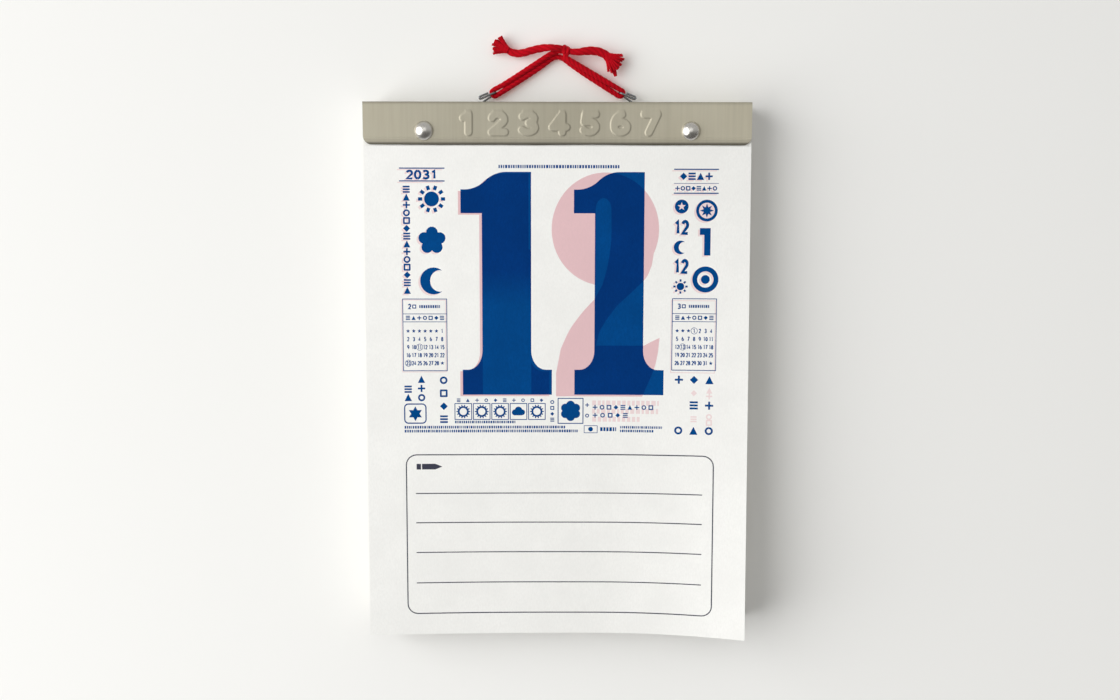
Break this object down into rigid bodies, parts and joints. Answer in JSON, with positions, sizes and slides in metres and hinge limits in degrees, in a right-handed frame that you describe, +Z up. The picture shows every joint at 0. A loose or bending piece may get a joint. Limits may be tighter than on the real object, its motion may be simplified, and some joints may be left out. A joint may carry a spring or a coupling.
{
  "type": "tear off day calendar",
  "caption": "Hanging tear-off day calendar: a thick pad of thin printed leaves clamped in a folded metal header bar with domed rivets and a red cord hanger.",
  "frame": {"origin": "on the axis of the pin or nail that carries the cord, in the plane of the wall", "axes": "+Z up, +Y into the wall, +X to the right as seen from the front; the printed side faces -Y"},
  "size_m": [0.182, 0.0319, 0.2872],
  "materials": {
    "tin_bar": "satin plated sheet",
    "bright_rivet": "polished",
    "steel_washer": "plain",
    "steel_wire": "galvanised",
    "grey_board": "uncoated chipboard",
    "leaf_paper": "uncoated, cut edges",
    "printed_paper": "uncoated, printed",
    "red_yarn": "soft plied yarn"
  },
  "bodies": {
    "pad": {"april_leaves": "leaf_paper", "august_leaves": "leaf_paper", "backing_board": "grey_board", "cord_knot": "red_yarn", "cord_loop": "red_yarn", "cord_tail_left": "red_yarn", "cord_tail_right": "red_yarn", "december_leaves": "leaf_paper", "february_leaves": "leaf_paper", "hanger_wire_left": "steel_wire", "hanger_wire_right": "steel_wire", "header_bar": "tin_bar", "january_leaves": "leaf_paper", "july_leaves": "leaf_paper", "june_leaves": "leaf_paper", "march_leaves": "leaf_paper", "may_leaves": "leaf_paper", "november_leaves": "leaf_paper", "october_leaves": "leaf_paper", "rivet_left": "bright_rivet", "rivet_right": "bright_rivet", "september_leaves": "leaf_paper", "torn_stubs": "leaf_paper", "washer_left": "steel_washer", "washer_right": "steel_washer"},
    "tomorrow_leaf": {"tomorrow_leaf": "printed_paper"},
    "today_strip": {"today_strip": "printed_paper"},
    "today_leaf": {"today_leaf": "printed_paper"}
  },
  "joints": [
    {"name": "tomorrow_lift", "type": "hinge", "parent": "pad", "child": "tomorrow_leaf", "pos_m": [0, -0.0212, -0.0417], "axis": [-1, 0, 0], "range_deg": [0, 55]},
    {"name": "page_tear", "type": "slide", "parent": "tomorrow_leaf", "child": "today_strip", "axis": [0, -0.1736, -0.9848], "range_m": [0, 0.25]},
    {"name": "today_lift", "type": "hinge", "parent": "today_strip", "child": "today_leaf", "pos_m": [0, -0.02145, -0.04585], "axis": [-1, 0, 0], "range_deg": [0, 100]}
  ]
}
